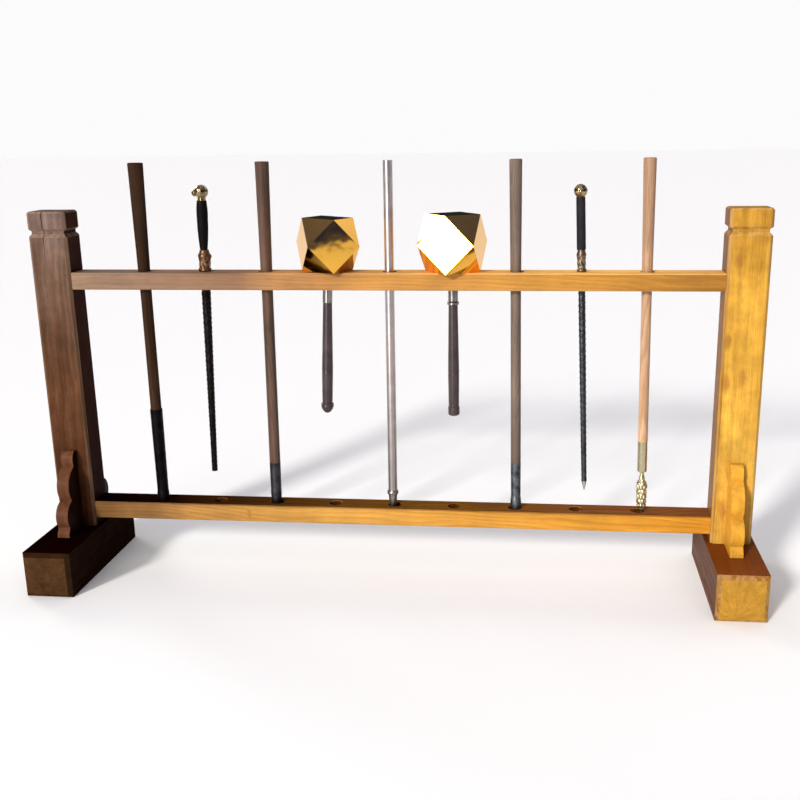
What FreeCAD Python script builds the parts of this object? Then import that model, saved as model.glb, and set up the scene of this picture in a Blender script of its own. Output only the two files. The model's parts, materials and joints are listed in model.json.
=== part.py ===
import FreeCAD, Part
import math
import operator
import os

import Sketcher
from FreeCAD import Placement, Rotation, Vector

# A wooden weapon rack with nine training weapons, in millimetres.
# +X runs along the rails to the right as seen from the front, -Y is the front and +Z is up.
# The origin is on the floor, at the centre of the two feet's common box.

SIZES = {
    # rack: overall layout
    "inner_span": 1826,
    "hole_pitch": 177.5,
    "post_setback": 32,
    "fit_gap": 0.05,
    "tool_overrun": 1,
    # feet
    "foot_width": 139,
    "foot_height": 134,
    "foot_length": 490,
    "foot_chamfer": 11,
    # posts
    "post_width": 114,
    "post_depth": 94,
    "post_top": 1074,
    "post_chamfer": 8,
    "post_crown_chamfer": 5,
    "groove_below_top": 60,
    "groove_mouth": 25,
    "groove_flat": 8,
    "groove_depth": 9,
    "groove_lower_run": 10,
    "post_tenon_width": 60,
    "post_tenon_depth": 44,
    "post_tenon_length": 80,
    # rails
    "rail_depth": 82,
    "upper_rail_bottom": 854,
    "upper_rail_height": 48,
    "lower_rail_bottom": 159,
    "lower_rail_height": 52,
    "rail_chamfer": 3,
    "rail_tenon_length": 64,
    "rail_tenon_depth": 40,
    "rail_tenon_cheek": 6,
    "tenon_end_gap": 1,
    "pole_hole_radius": 20,
    "hammer_hole_radius": 20,
    "left_mace_hole_radius": 15.5,
    "right_mace_hole_radius": 12,
    "socket_depth": 32,
    "free_socket_step": 0.5,
    # pegs and dowels
    "peg_radius": 6,
    "peg_inset": 32,
    "peg_reach": 30,
    "post_peg_rise": 92,
    "dowel_radius": 5,
    "dowel_length": 48,
    "dowel_end_gap": 0.5,
    "dowel_height": 160,
    "dowel_protrusion": 58,
    # brackets: protrusion from the post and height above the foot
    "bracket_width": 36,
    "bracket_height": 242,
    "bracket_base": 102,
    "bracket_toe": 10,
    "lower_lobe_foot_out": 90,
    "lower_lobe_foot_up": 28,
    "lower_lobe_top_out": 80,
    "lower_lobe_top_up": 94,
    "lower_lobe_radius": 44,
    "middle_lobe_foot_out": 60,
    "middle_lobe_foot_up": 103,
    "middle_lobe_top_out": 50,
    "middle_lobe_top_up": 186,
    "middle_lobe_radius": 55,
    "upper_lobe_foot_out": 27,
    "upper_lobe_foot_up": 200,
    "upper_lobe_top_out": 16,
    "upper_lobe_radius": 32,
    # poles: heights are measured from the pole's own lower end
    "pole_length": 1025,
    "pole_swell_start": 640,
    "pole_end_chamfer": 2,
    "spigot_length": 60,
    "ferrule_wall": 2,
    "pole_1_butt_height": 314,
    "pole_1_butt_nose": 10,
    "pole_1_butt_collar": 16.5,
    "pole_1_butt_collar_height": 62,
    "pole_1_butt_belly": 124,
    "pole_1_butt_radius": 18,
    "pole_1_shaft_radius": 15.8,
    "pole_1_top_radius": 21.5,
    "pole_2_butt_height": 156,
    "pole_2_butt_nose": 2.5,
    "pole_2_butt_collar": 15.6,
    "pole_2_butt_collar_height": 76,
    "pole_2_butt_belly": 152,
    "pole_2_butt_radius": 16.2,
    "pole_2_shaft_radius": 15.8,
    "pole_2_top_radius": 19.5,
    "pole_4_butt_height": 169,
    "pole_4_butt_nose": 8,
    "pole_4_butt_collar": 14,
    "pole_4_butt_collar_height": 70,
    "pole_4_butt_belly": 140,
    "pole_4_butt_radius": 14.7,
    "pole_4_shaft_radius": 14.4,
    "pole_4_top_radius": 17.5,
    "pole_5_shaft_radius": 13.8,
    "pole_5_top_radius": 17.5,
    "pole_foot_rest": 0.2,
    # pole 3: a steel tube with plugged ends
    "tube_radius": 13.2,
    "tube_wall": 2.5,
    "tube_ring_radius": 15.5,
    "tube_ring_height": 10,
    "tube_bottom_height": 66,
    "tube_plug_nose": 8,
    "tube_plug_depth": 40,
    # pole 5: a brass ferrule over an ornate brass butt
    "brass_ferrule_radius": 14,
    "brass_ferrule_bottom": 154,
    "brass_ferrule_top": 242,
    "bulb_neck_radius": 6,
    "bulb_neck_height": 147,
    "bulb_collar_radius": 9.5,
    "bulb_collar_height": 129,
    "bulb_radius": 16.5,
    "bulb_widest_height": 112,
    "bulb_belly_radius": 15,
    "bulb_belly_height": 64,
    "bulb_belly_curve": 120,
    "bulb_foot_radius": 7.5,
    "bulb_foot_height": 31,
    "bulb_foot_curve": 36,
    "bulb_nose_radius": 3,
    # maces: heights are measured from the top of the upper rail
    "tang_radius": 4,
    "tang_pommel_depth": 12,
    "guard_height": 60,
    "guard_bend_height": 45,
    "guard_neck_height": 55,
    "guard_bend_radius": 30,
    "left_guard_radius": 18.2,
    "left_guard_shoulder": 13.4,
    "left_grip_swell_height": 146,
    "left_grip_lower_curve": 700,
    "left_grip_upper_curve": 250,
    "left_grip_foot": 10.4,
    "left_grip_swell": 15.4,
    "left_grip_top": 13.2,
    "left_grip_height": 197,
    "left_pommel_collar": 9,
    "left_pommel_radius": 19,
    "left_lobe_radius": 9.5,
    "left_lobe_drop": 4,
    "left_blade_root": 14,
    "left_blade_middle": 11.6,
    "left_blade_end": 8.5,
    "left_blade_length": 598,
    "right_guard_radius": 13.5,
    "right_guard_shoulder": 10.7,
    "right_grip_radius": 12.4,
    "right_grip_height": 200,
    "right_pommel_collar": 1.5,
    "right_pommel_radius": 18.4,
    "right_lobe_radius": 7.5,
    "right_lobe_drop": 0,
    "right_blade_root": 10.2,
    "right_blade_middle": 9.7,
    "right_blade_end": 7.9,
    "right_blade_length": 604,
    "tip_length": 28,
    "tip_end_radius": 1.5,
    "blade_middle_drop": 250,
    "mace_seat_lift": 0.7,
    # hammers: heights are measured from the top of the upper rail
    "left_head_size": 146,
    "right_head_size": 158,
    "head_wall": 3,
    "neck_radius": 13.8,
    "neck_rim_radius": 16.5,
    "neck_rim_height": 8,
    "neck_rim_edge": 1,
    "neck_rim_slope": 2,
    "neck_drop": 92,
    "neck_rise": 26,
    "handle_top_radius": 13,
    "handle_radius": 16,
    "handle_groove_drop": 290,
    "handle_groove_width": 8,
    "handle_groove_curve": 6,
    "handle_foot_inset": 1.5,
    "handle_drop": 385,
    "left_knob_radius": 18.2,
    "right_knob_radius": 16.5,
    "knob_height": 30,
    "left_knob_dome_height": 18,
    "right_knob_dome_height": 6,
    "knob_edge": 2,
    "core_radius": 5,
    "core_knob_depth": 14,
    "left_hammer_seat_lift": 3.1,
    "right_hammer_seat_lift": 0,
    # lean of each weapon, in degrees about Y, and its shift along the rail in its hole
    "pole_1_lean": 0,
    "pole_2_lean": 0.6,
    "pole_3_lean": 0.4,
    "pole_4_lean": -0.5,
    "pole_5_lean": -0.9,
    "pole_1_shift": -1.5,
    "pole_2_shift": -5,
    "pole_3_shift": -6,
    "pole_4_shift": 3,
    "pole_5_shift": 10,
    "left_mace_lean": 1.3,
    "right_mace_lean": -2.1,
    "left_hammer_lean": 2.3,
    "right_hammer_lean": 0,
    "left_head_turn": 25,
    "right_head_turn": -10,
    "left_mace_shift": 0.5,
    "right_mace_shift": -0.9,
    "left_hammer_shift": 1.0,
    "right_hammer_shift": 0,
}
HOLE_COUNT = 9
MIDDLE_HOLE = HOLE_COUNT // 2
POLE_HOLES = {"pole_1": 0, "pole_2": 2, "pole_3": 4, "pole_4": 6, "pole_5": 8}
FREE_SOCKETS = (1, 3, 5, 7)
MACE_HOLES = {"left": 1, "right": 7}
HAMMER_HOLES = {"left": 3, "right": 5}
SIDES = {"left": -1, "right": 1}
ENDS = {"front": -1, "rear": 1}
# Two places nearer than this are the same place, and a cut removes more than this volume.
SAME_PLACE = 1e-3
LEAST_CUT = 1
# A ball's flat seat is this share of its radius below its middle, and this share of it wide.
SEAT_DROP, SEAT_REACH = 0.8, 0.6

doc = FreeCAD.newDocument("weapon_rack")
sheet = doc.addObject("Spreadsheet::Sheet", "Sizes")
for row, (alias, number) in enumerate(SIZES.items(), start=1):
    sheet.set(f"A{row}", alias)
    sheet.set(f"B{row}", str(number))
    sheet.setAlias(f"B{row}", alias)
doc.recompute()


class Length:
    """A size that carries its expression over the sheet and its present number."""

    def __init__(self, text, number):
        self.text = text
        self.number = number

    def combine(self, sign, action, other):
        other = as_length(other)
        return Length(f"({self.text} {sign} {other.text})", action(self.number, other.number))

    def __add__(self, other):
        return self.combine("+", operator.add, other)

    def __sub__(self, other):
        return self.combine("-", operator.sub, other)

    def __mul__(self, other):
        return self.combine("*", operator.mul, other)

    def __truediv__(self, other):
        return self.combine("/", operator.truediv, other)

    def __neg__(self):
        return self * -1


def as_length(value):
    """Take a plain number or a Length and return a Length."""
    if isinstance(value, Length):
        return value
    return Length(f"({value})", value)


def size(alias):
    """Read one driving size from the sheet."""
    return Length(f"Sizes.{alias}", float(sheet.get(alias)))


class Line:
    """A straight stretch of an outline that ends at (across, up)."""

    def __init__(self, across, up):
        self.across = as_length(across)
        self.up = as_length(up)


class Arc(Line):
    """A round stretch that ends at (across, up) and turns left (1) or right (-1)."""

    def __init__(self, across, up, radius, turn=1):
        super().__init__(across, up)
        self.radius = as_length(radius)
        self.turn = turn


# ---------------------------------------------------------------------------------------------
# Sketches and features


def start_body(label):
    body = doc.addObject("PartDesign::Body", label)
    body.Label = label
    return body


def start_sketch(body, plane, offset=None):
    """Attach a new sketch to an origin plane of its own body, offset along the plane's normal."""
    sketch = body.newObject("Sketcher::SketchObject", f"{body.Name}_sketch")
    origin_plane = [feature for feature in body.Origin.OriginFeatures if feature.Role == plane]
    sketch.AttachmentSupport = [(origin_plane[0], "")]
    sketch.MapMode = "FlatFace"
    if offset is not None:
        sketch.setExpression("AttachmentOffset.Base.z", as_length(offset).text)
    return sketch


def hold_point(sketch, geometry, end, across, up):
    """Bind one end of one edge to its place in the sheet."""
    for kind, place in (("DistanceX", across), ("DistanceY", up)):
        number = sketch.addConstraint(Sketcher.Constraint(kind, -1, 1, geometry, end, place.number))
        sketch.setExpression(f"Constraints[{number}]", place.text)


def arc_edge(start, stretch):
    """Build the arc of an outline from its two ends, its radius and the way it turns."""
    first = Vector(start.across.number, start.up.number, 0)
    last = Vector(stretch.across.number, stretch.up.number, 0)
    if stretch.turn < 0:
        first, last = last, first
    chord = last - first
    rise = math.sqrt(stretch.radius.number ** 2 - (chord.Length / 2) ** 2)
    normal = Vector(-chord.y, chord.x, 0).normalize()
    centre = (first + last) / 2 + normal * rise
    circle = Part.Circle(centre, Vector(0, 0, 1), stretch.radius.number)
    first_angle = math.atan2(first.y - centre.y, first.x - centre.x)
    last_angle = math.atan2(last.y - centre.y, last.x - centre.x)
    if last_angle < first_angle:
        last_angle += 2 * math.pi
    return Part.ArcOfCircle(circle, first_angle, last_angle)


def draw_outline(sketch, stretches):
    """Draw one closed outline. Each stretch starts where the one before it ends."""
    ends = []
    for index, stretch in enumerate(stretches):
        start = stretches[index - 1]
        if isinstance(stretch, Arc):
            number = sketch.addGeometry(arc_edge(start, stretch), False)
            radius = sketch.addConstraint(
                Sketcher.Constraint("Radius", number, stretch.radius.number))
            sketch.setExpression(f"Constraints[{radius}]", stretch.radius.text)
            ends.append((number, 1, 2) if stretch.turn > 0 else (number, 2, 1))
        else:
            first = Vector(start.across.number, start.up.number, 0)
            last = Vector(stretch.across.number, stretch.up.number, 0)
            number = sketch.addGeometry(Part.LineSegment(first, last), False)
            ends.append((number, 1, 2))
    for index, stretch in enumerate(stretches):
        geometry, _, end = ends[index]
        next_geometry, next_start, _ = ends[(index + 1) % len(ends)]
        sketch.addConstraint(
            Sketcher.Constraint("Coincident", geometry, end, next_geometry, next_start))
        hold_point(sketch, geometry, end, stretch.across, stretch.up)


def draw_rectangle(sketch, left, bottom, right, top):
    draw_outline(sketch, [Line(left, bottom), Line(right, bottom), Line(right, top), Line(left, top)])


def draw_circle(sketch, across, up, radius):
    across, up, radius = as_length(across), as_length(up), as_length(radius)
    centre = Vector(across.number, up.number, 0)
    number = sketch.addGeometry(Part.Circle(centre, Vector(0, 0, 1), radius.number), False)
    hold_point(sketch, number, 3, across, up)
    constraint = sketch.addConstraint(Sketcher.Constraint("Radius", number, radius.number))
    sketch.setExpression(f"Constraints[{constraint}]", radius.text)


def pad(body, sketch, length, symmetric=False, reverse=False):
    feature = body.newObject("PartDesign::Pad", f"{body.Name}_pad")
    feature.Profile = sketch
    feature.setExpression("Length", as_length(length).text)
    feature.SideType = "Symmetric" if symmetric else "One side"
    feature.Reversed = reverse
    doc.recompute()
    return feature


def pocket(body, sketch, length, symmetric=False, reverse=False):
    """Cut a sketch into the body and make sure that it removed something."""
    before = body.Shape.Volume
    feature = body.newObject("PartDesign::Pocket", f"{body.Name}_pocket")
    feature.Profile = sketch
    feature.setExpression("Length", as_length(length).text)
    feature.SideType = "Symmetric" if symmetric else "One side"
    feature.Reversed = reverse
    doc.recompute()
    if not body.Shape.Volume < before - LEAST_CUT:
        raise RuntimeError(f"{feature.Name} in {body.Label} cuts nothing")
    return feature


def drill(body, plane, offset, across, up, radius, depth, reverse=False):
    """Cut one round hole from a plane at an offset along that plane's normal."""
    sketch = start_sketch(body, plane, offset)
    draw_circle(sketch, across, up, radius)
    return pocket(body, sketch, depth, reverse=reverse)


def repeat_along_x(body, feature, pitch, count):
    pattern = body.newObject("PartDesign::LinearPattern", f"{body.Name}_pattern")
    pattern.Originals = [feature]
    pattern.Direction = (feature.Profile[0], ["H_Axis"])
    pattern.Mode = "Spacing"
    pattern.Occurrences = count
    pattern.setExpression("Offset", as_length(pitch).text)
    body.Tip = pattern
    doc.recompute()
    return pattern


def edges_where(shape, test):
    return [f"Edge{number}" for number, edge in enumerate(shape.Edges, start=1) if test(edge)]


def lies_along(edge, axis):
    """True for a straight edge along one axis, given as 'x', 'y' or 'z'."""
    box = edge.BoundBox
    spans = {"x": box.XLength, "y": box.YLength, "z": box.ZLength}
    return max(spans[name] for name in spans if name != axis) < SAME_PLACE


def chamfer(body, test, width):
    base = body.Tip
    feature = body.newObject("PartDesign::Chamfer", f"{body.Name}_chamfer")
    feature.Base = (base, edges_where(base.Shape, test))
    feature.setExpression("Size", as_length(width).text)
    doc.recompute()
    return feature


def turned_body(label, stretches):
    """Revolve an outline of (radius, height) stretches about the body's own Z axis."""
    body = start_body(label)
    sketch = start_sketch(body, "XZ_Plane")
    draw_outline(sketch, stretches)
    feature = body.newObject("PartDesign::Revolution", f"{label}_turning")
    feature.Profile = sketch
    feature.ReferenceAxis = (sketch, ["V_Axis"])
    feature.Angle = 360
    doc.recompute()
    return body


def place(body, position, turn=None):
    """Move a body to a position in the rack, with an optional turn about Z and a lean about Y."""
    for axis, length in zip("xyz", position):
        body.setExpression(f".Placement.Base.{axis}", as_length(length).text)
    if turn is not None:
        body.Placement = Placement(body.Placement.Base, turn)
    doc.recompute()
    return body


# ---------------------------------------------------------------------------------------------
# Places in the rack

post_centre = size("inner_span") / 2 + size("post_width") / 2
post_face = size("post_depth") / 2
foot_top = size("foot_height")
upper_rail_top = size("upper_rail_bottom") + size("upper_rail_height")
lower_rail_top = size("lower_rail_bottom") + size("lower_rail_height")
socket_floor = lower_rail_top - size("socket_depth")
# The feet reach further forward than back, so the posts stand behind the origin.
rack_plane = size("post_setback")


def hole_place(number):
    return size("hole_pitch") * (number - MIDDLE_HOLE)


# ---------------------------------------------------------------------------------------------
# Rack


def make_foot(label, side):
    body = start_body(label)
    sketch = start_sketch(body, "XY_Plane")
    half_width, half_length = size("foot_width") / 2, size("foot_length") / 2
    draw_rectangle(sketch, -half_width, -half_length, half_width, half_length)
    pad(body, sketch, foot_top)
    reach = half_length.number - SAME_PLACE
    chamfer(body, lambda edge: abs(edge.CenterOfMass.y) > reach, size("foot_chamfer"))
    mortise = start_sketch(body, "XY_Plane", foot_top)
    half_tenon, half_thick = size("post_tenon_width") / 2, size("post_tenon_depth") / 2
    draw_rectangle(mortise, -half_tenon, rack_plane - half_thick, half_tenon, rack_plane + half_thick)
    pocket(body, mortise, size("post_tenon_length") + size("tenon_end_gap"))
    drill(body, "YZ_Plane", half_tenon * -side, rack_plane, size("post_peg_rise"),
          size("peg_radius"), half_tenon + half_width, reverse=side > 0)
    for end in ENDS.values():
        drill(body, "XY_Plane", foot_top, 0,
              rack_plane + (post_face + size("dowel_protrusion")) * end,
              size("dowel_radius"), size("dowel_length") / 2)
    return place(body, (post_centre * side, 0, 0))


def post_groove(body, plane, half_width):
    """Cut the V-groove into the two opposite faces that one plane shows edge-on."""
    mouth_top = size("post_top") - size("groove_below_top") + size("groove_mouth") / 2
    mouth_bottom = mouth_top - size("groove_mouth")
    flat_bottom = mouth_bottom + size("groove_lower_run")
    flat_top = flat_bottom + size("groove_flat")
    outside = half_width + size("tool_overrun")
    bottom_of_groove = half_width - size("groove_depth")
    sketch = start_sketch(body, plane)
    for side in SIDES.values():
        draw_outline(sketch, [
            Line(outside * side, mouth_bottom),
            Line(half_width * side, mouth_bottom),
            Line(bottom_of_groove * side, flat_bottom),
            Line(bottom_of_groove * side, flat_top),
            Line(half_width * side, mouth_top),
            Line(outside * side, mouth_top),
        ])
    pocket(body, sketch, size("post_width") * 2, symmetric=True)


def rail_mortise(body, side, bottom, height):
    """Cut a blind mortise for a rail's tenon into the post's inner face."""
    floor = size("post_width") / 2 - size("rail_tenon_length")
    sketch = start_sketch(body, "YZ_Plane", floor * -side)
    half_thick = size("rail_tenon_depth") / 2
    cheek = size("rail_tenon_cheek")
    draw_rectangle(sketch, -half_thick, bottom + cheek, half_thick, bottom + height - cheek)
    pocket(body, sketch, size("rail_tenon_length") + size("tool_overrun"), reverse=side < 0)


def make_post(label, side):
    body = start_body(label)
    half_width = size("post_width") / 2
    sketch = start_sketch(body, "XY_Plane", foot_top)
    draw_rectangle(sketch, -half_width, -post_face, half_width, post_face)
    pad(body, sketch, size("post_top") - foot_top)
    chamfer(body, lambda edge: lies_along(edge, "z"), size("post_chamfer"))
    crown = size("post_top").number - SAME_PLACE
    chamfer(body, lambda edge: edge.BoundBox.ZMin > crown, size("post_crown_chamfer"))
    tenon = start_sketch(body, "XY_Plane", foot_top)
    half_tenon, half_thick = size("post_tenon_width") / 2, size("post_tenon_depth") / 2
    draw_rectangle(tenon, -half_tenon, -half_thick, half_tenon, half_thick)
    pad(body, tenon, size("post_tenon_length"), reverse=True)
    post_groove(body, "XZ_Plane", half_width)
    post_groove(body, "YZ_Plane", post_face)
    for rail in ("upper", "lower"):
        bottom, height = size(f"{rail}_rail_bottom"), size(f"{rail}_rail_height")
        rail_mortise(body, side, bottom, height)
        drill(body, "XZ_Plane", size("peg_reach"), (half_width - size("peg_inset")) * -side,
              bottom + height / 2, size("peg_radius"), size("peg_reach") + post_face)
    drill(body, "YZ_Plane", half_width * -side, 0, size("post_peg_rise"), size("peg_radius"),
          size("post_width"), reverse=side > 0)
    for end in ENDS.values():
        drill(body, "XZ_Plane", (post_face - size("dowel_length") / 2) * -end, 0,
              foot_top + size("dowel_height"), size("dowel_radius"), size("dowel_length"),
              reverse=end < 0)
    return place(body, (post_centre * side, rack_plane, 0))


def make_rail(label, bottom, height):
    """A rail with a tenon at each end that is thinner and lower than the rail itself."""
    body = start_body(label)
    sketch = start_sketch(body, "YZ_Plane")
    half_depth = size("rail_depth") / 2
    draw_rectangle(sketch, -half_depth, bottom, half_depth, bottom + height)
    pad(body, sketch, size("inner_span"), symmetric=True)
    chamfer(body, lambda edge: lies_along(edge, "x"), size("rail_chamfer"))
    tenon = start_sketch(body, "YZ_Plane")
    half_thick = size("rail_tenon_depth") / 2 - size("fit_gap")
    cheek = size("rail_tenon_cheek") + size("fit_gap")
    draw_rectangle(tenon, -half_thick, bottom + cheek, half_thick, bottom + height - cheek)
    tenon_reach = size("rail_tenon_length") - size("tenon_end_gap")
    pad(body, tenon, size("inner_span") + tenon_reach * 2, symmetric=True)
    for side in SIDES.values():
        drill(body, "XZ_Plane", size("rail_depth"),
              (size("inner_span") / 2 + size("peg_inset")) * side,
              bottom + height / 2, size("peg_radius"), size("rail_depth") * 2)
    return body


def make_upper_rail():
    body = make_rail("upper_rail", size("upper_rail_bottom"), size("upper_rail_height"))
    depth = size("upper_rail_height")
    first_pole = drill(body, "XY_Plane", upper_rail_top, hole_place(0), 0,
                       size("pole_hole_radius"), depth)
    repeat_along_x(body, first_pole, size("hole_pitch") * 2, len(POLE_HOLES))
    for number in HAMMER_HOLES.values():
        drill(body, "XY_Plane", upper_rail_top, hole_place(number), 0,
              size("hammer_hole_radius"), depth)
    for name, number in MACE_HOLES.items():
        drill(body, "XY_Plane", upper_rail_top, hole_place(number), 0,
              size(f"{name}_mace_hole_radius"), depth)
    return place(body, (0, rack_plane, 0))


def make_lower_rail():
    """Blind sockets for five poles, and four free ones, each a step shallower than the last."""
    body = make_rail("lower_rail", size("lower_rail_bottom"), size("lower_rail_height"))
    radius, depth = size("pole_hole_radius"), size("socket_depth")
    first_socket = drill(body, "XY_Plane", lower_rail_top, hole_place(0), 0, radius, depth)
    repeat_along_x(body, first_socket, size("hole_pitch") * 2, len(POLE_HOLES))
    for order, number in enumerate(FREE_SOCKETS):
        drill(body, "XY_Plane", lower_rail_top, hole_place(number), 0, radius,
              depth - size("free_socket_step") * order)
    return place(body, (0, rack_plane, 0))


def make_bracket(label, side, end):
    """A cloud-shaped bracket of three lobes, drawn from the post's face outwards."""
    body = start_body(label)
    sketch = start_sketch(body, "YZ_Plane")
    draw_outline(sketch, [
        Line(0, 0),
        Line(size("bracket_base") * end, 0),
        Line(size("bracket_base") * end, size("bracket_toe")),
        Line(size("lower_lobe_foot_out") * end, size("lower_lobe_foot_up")),
        Arc(size("lower_lobe_top_out") * end, size("lower_lobe_top_up"),
            size("lower_lobe_radius"), end),
        Line(size("middle_lobe_foot_out") * end, size("middle_lobe_foot_up")),
        Arc(size("middle_lobe_top_out") * end, size("middle_lobe_top_up"),
            size("middle_lobe_radius"), end),
        Line(size("upper_lobe_foot_out") * end, size("upper_lobe_foot_up")),
        Arc(size("upper_lobe_top_out") * end, size("bracket_height"),
            size("upper_lobe_radius"), end),
        Line(0, size("bracket_height")),
    ])
    pad(body, sketch, size("bracket_width"), symmetric=True)
    half_dowel = size("dowel_length") / 2
    drill(body, "XY_Plane", 0, 0, size("dowel_protrusion") * end, size("dowel_radius"),
          half_dowel, reverse=True)
    drill(body, "XZ_Plane", 0, 0, size("dowel_height"), size("dowel_radius"), half_dowel,
          reverse=end < 0)
    return place(body, (post_centre * side, rack_plane + post_face * end, foot_top))


def round_pin(name, radius, length, position, direction):
    """One plain pin that starts at a position and runs along a direction."""
    pin = doc.addObject("Part::Cylinder", name)
    pin.setExpression("Radius", (as_length(radius) - size("fit_gap")).text)
    pin.setExpression("Height", as_length(length).text)
    for axis, place_along in zip("xyz", position):
        pin.setExpression(f".Placement.Base.{axis}", as_length(place_along).text)
    pin.Placement = Placement(pin.Placement.Base, Rotation(Vector(0, 0, 1), direction))
    return pin


def group_pins(label, pins):
    """Keep alike pins in one node. They don't touch, so each stays a solid of its own."""
    group = doc.addObject("Part::Compound", label)
    group.Label = label
    group.Links = pins
    return group


def make_rail_pegs():
    pins = []
    inset = size("inner_span") / 2 + size("peg_inset")
    for side in SIDES.values():
        for rail in ("upper", "lower"):
            middle = size(f"{rail}_rail_bottom") + size(f"{rail}_rail_height") / 2
            pins.append(round_pin(
                f"rail_peg_{len(pins) + 1}", size("peg_radius"), size("peg_reach") + post_face,
                (inset * side, rack_plane - size("peg_reach"), middle), Vector(0, 1, 0)))
    return group_pins("rail_pegs", pins)


def make_post_pegs():
    pins = []
    half_tenon = size("post_tenon_width") / 2
    for side in SIDES.values():
        start = (post_centre - half_tenon) * side
        pins.append(round_pin(
            f"post_peg_{len(pins) + 1}", size("peg_radius"), half_tenon + size("foot_width") / 2,
            (start, rack_plane, size("post_peg_rise")), Vector(side, 0, 0)))
    return group_pins("post_pegs", pins)


def make_bracket_dowels():
    pins = []
    reach = size("dowel_length") / 2 - size("dowel_end_gap")
    for side in SIDES.values():
        for end in ENDS.values():
            face = rack_plane + post_face * end
            start = post_centre * side
            pins.append(round_pin(
                f"bracket_dowel_{len(pins) + 1}", size("dowel_radius"), reach * 2,
                (start, face - reach * end, foot_top + size("dowel_height")),
                Vector(0, end, 0)))
            pins.append(round_pin(
                f"bracket_dowel_{len(pins) + 1}", size("dowel_radius"), reach * 2,
                (start, face + size("dowel_protrusion") * end, foot_top - reach),
                Vector(0, 0, 1)))
    return group_pins("bracket_dowels", pins)


# ---------------------------------------------------------------------------------------------
# Weapons


def lean_and_turn(lean, turn=0.0):
    """Turn a piece about its own axis, then lean it towards +X."""
    return Rotation(Vector(0, 1, 0), lean) * Rotation(Vector(0, 0, 1), turn)


def stand_in_socket(body, weapon):
    """Stand a pole in its socket. Its own origin is at its lower end."""
    across = hole_place(POLE_HOLES[weapon]) + size(f"{weapon}_shift")
    return place(body, (across, rack_plane, socket_floor + size("pole_foot_rest")),
                 lean_and_turn(size(f"{weapon}_lean").number))


def hang_in_rail(body, side, kind, number, lift, turn=0.0):
    """Hang a mace or a hammer in the upper rail. Its own origin is on the rail's top."""
    across = hole_place(number) + size(f"{side}_{kind}_shift")
    return place(body, (across, rack_plane, upper_rail_top + lift),
                 lean_and_turn(size(f"{side}_{kind}_lean").number, turn))


def dome_radius(radius, rise):
    """Radius of the sphere whose cap has this base radius and this rise."""
    return (radius * radius + rise * rise) / (rise * 2)


def make_wooden_shaft(label, pole, foot, foot_spigot):
    """A round shaft with a spigot at its foot. It widens from just under the upper rail."""
    radius, top_radius = size(f"{pole}_shaft_radius"), size(f"{pole}_top_radius")
    top, edge = size("pole_length"), size("pole_end_chamfer")
    return turned_body(label, [
        Line(0, foot - size("spigot_length")),
        Line(foot_spigot, foot - size("spigot_length")),
        Line(foot_spigot, foot),
        Line(radius, foot),
        Line(radius, size("pole_swell_start")),
        Line(top_radius, top - edge),
        Line(top_radius - edge, top),
        Line(0, top),
    ])


def make_iron_shod_pole(pole):
    """Poles 1, 2 and 4: a wooden shaft in a tapering iron butt."""
    foot = size(f"{pole}_butt_height")
    spigot = size(f"{pole}_shaft_radius") - size("ferrule_wall")
    butt = turned_body(f"{pole}_butt", [
        Line(0, 0),
        Line(size(f"{pole}_butt_nose"), 0),
        Arc(size(f"{pole}_butt_collar"), size(f"{pole}_butt_collar_height"),
            size(f"{pole}_butt_belly")),
        Line(size(f"{pole}_butt_radius"), foot),
        Line(spigot, foot),
        Line(spigot, foot - size("spigot_length")),
        Line(0, foot - size("spigot_length")),
    ])
    shaft = make_wooden_shaft(f"{pole}_shaft", pole, foot, spigot)
    return [stand_in_socket(piece, pole) for piece in (butt, shaft)]


def make_steel_pole():
    """Pole 3: a plain steel tube, plugged at both ends, with a ring around its foot."""
    bottom, top = size("tube_bottom_height"), size("pole_length")
    radius, bore = size("tube_radius"), size("tube_radius") - size("tube_wall")
    ring_top = bottom + size("tube_ring_height")
    tube = turned_body("pole_3_tube", [
        Line(bore, bottom), Line(radius, bottom), Line(radius, top), Line(bore, top)])
    ring = turned_body("pole_3_ring", [
        Line(radius, bottom),
        Line(size("tube_ring_radius"), bottom),
        Arc(size("tube_ring_radius"), ring_top, size("tube_ring_height")),
        Line(radius, ring_top),
    ])
    lower_plug = turned_body("pole_3_lower_plug", [
        Line(0, 0),
        Line(size("tube_plug_nose"), 0),
        Line(radius, bottom),
        Line(bore, bottom),
        Line(bore, bottom + size("tube_plug_depth")),
        Line(0, bottom + size("tube_plug_depth")),
    ])
    upper_plug = turned_body("pole_3_upper_plug", [
        Line(0, top - size("tube_plug_depth")),
        Line(bore, top - size("tube_plug_depth")),
        Line(bore, top),
        Line(0, top),
    ])
    return [stand_in_socket(piece, "pole_3") for piece in (tube, ring, lower_plug, upper_plug)]


def make_brass_pole():
    """Pole 5: a wooden shaft in a brass ferrule that ends in a lobed bulb."""
    foot, top = size("brass_ferrule_bottom"), size("brass_ferrule_top")
    outer = size("brass_ferrule_radius")
    spigot = outer - size("ferrule_wall")
    ferrule = turned_body("pole_5_ferrule", [
        Line(spigot, foot), Line(outer, foot), Line(outer, top), Line(spigot, top)])
    butt = turned_body("pole_5_butt", [
        Line(0, 0),
        Line(size("bulb_nose_radius"), 0),
        Line(size("bulb_foot_radius"), size("bulb_foot_height")),
        Arc(size("bulb_belly_radius"), size("bulb_belly_height"), size("bulb_foot_curve")),
        Arc(size("bulb_radius"), size("bulb_widest_height"), size("bulb_belly_curve")),
        Arc(size("bulb_collar_radius"), size("bulb_collar_height"), size("bulb_radius")),
        Line(size("bulb_neck_radius"), size("bulb_neck_height")),
        Line(outer, foot),
        Line(0, foot),
    ])
    shaft = make_wooden_shaft("pole_5_shaft", "pole_5", top, spigot)
    return [stand_in_socket(piece, "pole_5") for piece in (ferrule, butt, shaft)]


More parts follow.
